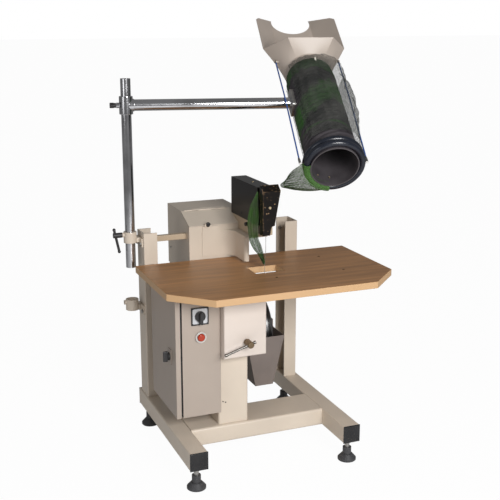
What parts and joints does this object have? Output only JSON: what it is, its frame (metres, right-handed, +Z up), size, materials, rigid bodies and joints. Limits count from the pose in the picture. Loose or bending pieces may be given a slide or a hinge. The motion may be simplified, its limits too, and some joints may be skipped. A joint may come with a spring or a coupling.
{
  "type": "net clipping machine",
  "caption": "Stand-mounted clipping machine that slides goods down a netted chute and closes the net with wire clips",
  "frame": {"origin": "on the floor under the middle of the whole machine", "axes": "+X to the right along the table, +Y to the back, +Z up"},
  "size_m": [0.9283, 0.8906, 1.4492],
  "materials": {
    "cream_paint": "semi-gloss",
    "beige_paint": "semi-gloss",
    "grey_paint": "satin",
    "white_paint": "semi-gloss",
    "black_paint": "semi-gloss",
    "oak": "matt laminate",
    "chrome": "polished",
    "zinc": "zinc plated",
    "steel": "machined",
    "bronze": "dull bronze",
    "black_plastic": "moulded",
    "grey_plastic": "moulded",
    "lamp_red": "clear red",
    "black_rubber": "glossy",
    "seal_rubber": "matt",
    "tube_plastic": "smooth",
    "blue_elastic": "braided",
    "net": "knitted net",
    "wire": "drawn",
    "foot_plastic": "moulded",
    "brass_hook": "plated"
  },
  "bodies": {
    "stand": {"left_rail": "cream_paint", "right_rail": "cream_paint", "cross_member": "cream_paint", "rail_end_caps": "black_plastic", "foot_pads": "foot_plastic", "foot_studs": "zinc", "column": "cream_paint", "left_upright": "cream_paint", "right_upright": "cream_paint", "frame_bolts": "zinc", "table_bearer": "cream_paint", "table_top": "oak", "side_bar": "beige_paint", "cabinet_shell": "grey_paint", "main_switch": "grey_plastic", "lamp_holder": "zinc", "lamp_lens": "lamp_red", "mounting_panel": "zinc", "contactor": "black_plastic", "terminal_strip": "grey_plastic", "clamp_box": "white_paint", "housing_shell": "cream_paint", "drive_motor": "black_paint", "gearbox": "steel", "curved_guard": "cream_paint", "head_nose": "beige_paint", "head_cover": "black_paint", "ram_guide": "steel", "die_block": "steel", "upper_ring_clamp": "zinc", "lower_ring_guide": "zinc", "net_hang": "net", "reel_bin": "grey_plastic", "clip_wire": "wire"},
    "mast": {"mast": "chrome"},
    "arm": {"arm": "chrome"},
    "chute": {"chute_tube": "tube_plastic", "chute_saddle": "zinc", "hopper": "cream_paint", "brake_rings": "black_rubber", "elastic_hooks": "brass_hook", "elastic_cords": "blue_elastic", "net_sleeve": "net", "net_tail": "net"},
    "mast_lever": {"mast_lever": "steel"},
    "arm_knob": {"arm_knob": "black_plastic"},
    "door": {"cabinet_door": "grey_paint", "door_seal": "seal_rubber"},
    "latch": {"latch_wing": "black_plastic"},
    "switch": {"switch_knob": "black_plastic"},
    "screw": {"clamp_screw": "bronze"},
    "tommy": {"tommy_bar": "steel"},
    "lid": {"slant_lid": "cream_paint"},
    "reel": {"wire_reel": "black_plastic", "wire_coil": "wire"},
    "ram": {"ram": "steel", "push_rod": "steel"},
    "trigger": {"trigger_finger": "steel"},
    "crank": {"crank_disc": "steel"},
    "nose_knob": {"nose_knob": "black_plastic"}
  },
  "joints": [
    {"name": "mast_lift", "type": "slide", "parent": "stand", "child": "mast", "axis": [0, 0, 1], "range_m": [0, 0.15]},
    {"name": "arm_swing", "type": "hinge", "parent": "mast", "child": "arm", "pos_m": [-0.404, 0.0845, 1.168], "axis": [0, 0, 1], "range_deg": [0, 40]},
    {"name": "chute_tilt", "type": "hinge", "parent": "arm", "child": "chute", "pos_m": [0.22687, -0.06696, 1.168], "axis": [0.9724, -0.2334, 0], "range_deg": [-20, 25]},
    {"name": "mast_lever_turn", "type": "hinge", "parent": "stand", "child": "mast_lever", "pos_m": [-0.4625, 0.0845, 0.726], "axis": [1, 0, 0], "range_deg": [-90, 90]},
    {"name": "arm_knob_turn", "type": "hinge", "parent": "arm", "child": "arm_knob", "pos_m": [-0.45262, 0.09617, 1.168], "axis": [0.9724, -0.2334, 0], "continuous": true},
    {"name": "cabinet_door_swing", "type": "hinge", "parent": "stand", "child": "door", "pos_m": [-0.3585, -0.0205, 0.395], "axis": [0, 0, -1], "range_deg": [0, 110]},
    {"name": "door_latch_turn", "type": "hinge", "parent": "door", "child": "latch", "pos_m": [-0.3695, -0.234, 0.386], "axis": [1, 0, 0], "range_deg": [0, 90]},
    {"name": "main_switch_turn", "type": "hinge", "parent": "stand", "child": "switch", "pos_m": [-0.2845, -0.302, 0.531], "axis": [0, 1, 0], "range_deg": [0, 90]},
    {"name": "clamp_screw_turn", "type": "hinge", "parent": "stand", "child": "screw", "pos_m": [-0.1365, -0.359, 0.436], "axis": [0, 1, 0], "continuous": true},
    {"name": "tommy_bar_slide", "type": "slide", "parent": "screw", "child": "tommy", "axis": [0.9537, 0, 0.3007], "range_m": [0, 0.068]},
    {"name": "lid_swing", "type": "hinge", "parent": "stand", "child": "lid", "pos_m": [-0.1135, 0.1325, 0.783], "axis": [-1, 0, 0], "range_deg": [0, 75]},
    {"name": "reel_spin", "type": "hinge", "parent": "stand", "child": "reel", "pos_m": [0.001, -0.042, 0.385], "axis": [1, 0, 0], "continuous": true},
    {"name": "ram_slide", "type": "slide", "parent": "stand", "child": "ram", "axis": [0, -1, 0], "range_m": [0, 0.018]},
    {"name": "trigger_press", "type": "hinge", "parent": "stand", "child": "trigger", "pos_m": [0.0385, -0.102, 0.874], "axis": [1, 0, 0], "range_deg": [0, 18], "stiffness_Nm_per_rad": 0.25},
    {"name": "crank_spin", "type": "hinge", "parent": "stand", "child": "crank", "pos_m": [-0.0225, 0.178, 0.728], "axis": [0, 0, 1], "continuous": true},
    {"name": "nose_knob_turn", "type": "hinge", "parent": "stand", "child": "nose_knob", "pos_m": [-0.0225, -0.043, 0.757], "axis": [1, 0, 0], "continuous": true}
  ]
}
